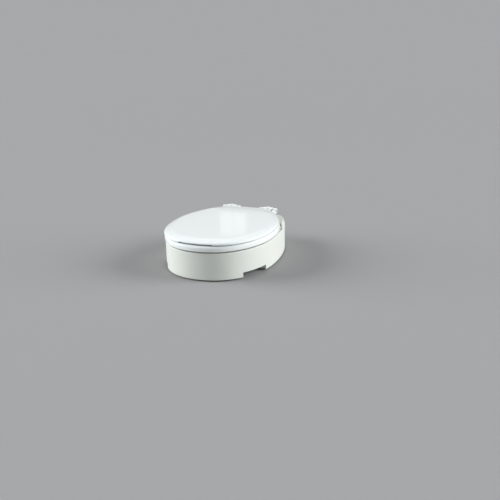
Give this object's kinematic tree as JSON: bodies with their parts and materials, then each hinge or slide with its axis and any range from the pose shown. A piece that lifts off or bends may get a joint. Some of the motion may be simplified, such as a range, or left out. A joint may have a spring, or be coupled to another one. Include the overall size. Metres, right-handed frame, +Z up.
{
  "type": "raised toilet seat",
  "caption": "Raised toilet seat: a hinged moulded riser on a bowl bracket, carrying a hinged seat ring and closed lid.",
  "frame": {"origin": "midway between the two bowl bolts, on the plane of the bowl's rim", "axes": "+Z up, -Y towards the front of the bowl, +Y towards the tank, +X to the right of someone facing the bowl"},
  "size_m": [0.36, 0.487, 0.203],
  "materials": {
    "riser_plastic": "satin moulded",
    "seat_plastic": "gloss moulded",
    "white_nylon": "satin",
    "grey_rubber": "matt",
    "dark_rubber": "matt",
    "stainless_steel": "brushed"
  },
  "bodies": {
    "bowl_bracket": {"hinge_bracket": "white_nylon", "bracket_pads": "dark_rubber", "bowl_bolts": "stainless_steel", "bowl_cone_washers": "dark_rubber", "bowl_flat_washers": "stainless_steel", "bowl_wing_nuts": "white_nylon", "pivot_pin_left": "stainless_steel", "pivot_pin_right": "stainless_steel"},
    "riser": {"riser_shell": "riser_plastic", "riser_bumper_front_left": "grey_rubber", "riser_bumper_front_right": "grey_rubber", "riser_bumper_rear_left": "grey_rubber", "riser_bumper_rear_right": "grey_rubber", "pivot_bush_left": "white_nylon", "pivot_bush_right": "white_nylon", "seat_post_left": "seat_plastic", "seat_post_right": "seat_plastic", "post_cap_left": "seat_plastic", "post_cap_right": "seat_plastic", "seat_bolts": "stainless_steel", "seat_bolt_washers": "stainless_steel", "seat_nuts": "stainless_steel", "seat_pin_left": "stainless_steel", "seat_pin_right": "stainless_steel", "lid_pin_left": "stainless_steel", "lid_pin_right": "stainless_steel"},
    "seat": {"seat_ring": "seat_plastic", "seat_bumper_front_left": "grey_rubber", "seat_bumper_front_right": "grey_rubber", "seat_bumper_rear_left": "grey_rubber", "seat_bumper_rear_right": "grey_rubber"},
    "lid": {"lid": "seat_plastic", "lid_bumpers": "grey_rubber"}
  },
  "joints": [
    {"name": "riser_hinge", "type": "hinge", "parent": "bowl_bracket", "child": "riser", "pos_m": [0, 0.017, 0.072], "axis": [-1, 0, 0], "range_deg": [0, 80]},
    {"name": "seat_hinge", "type": "hinge", "parent": "riser", "child": "seat", "pos_m": [0, 0, 0.11], "axis": [-1, 0, 0], "range_deg": [0, 95]},
    {"name": "lid_hinge", "type": "hinge", "parent": "seat", "child": "lid", "pos_m": [0, 0, 0.11], "axis": [-1, 0, 0], "range_deg": [0, 95]}
  ]
}
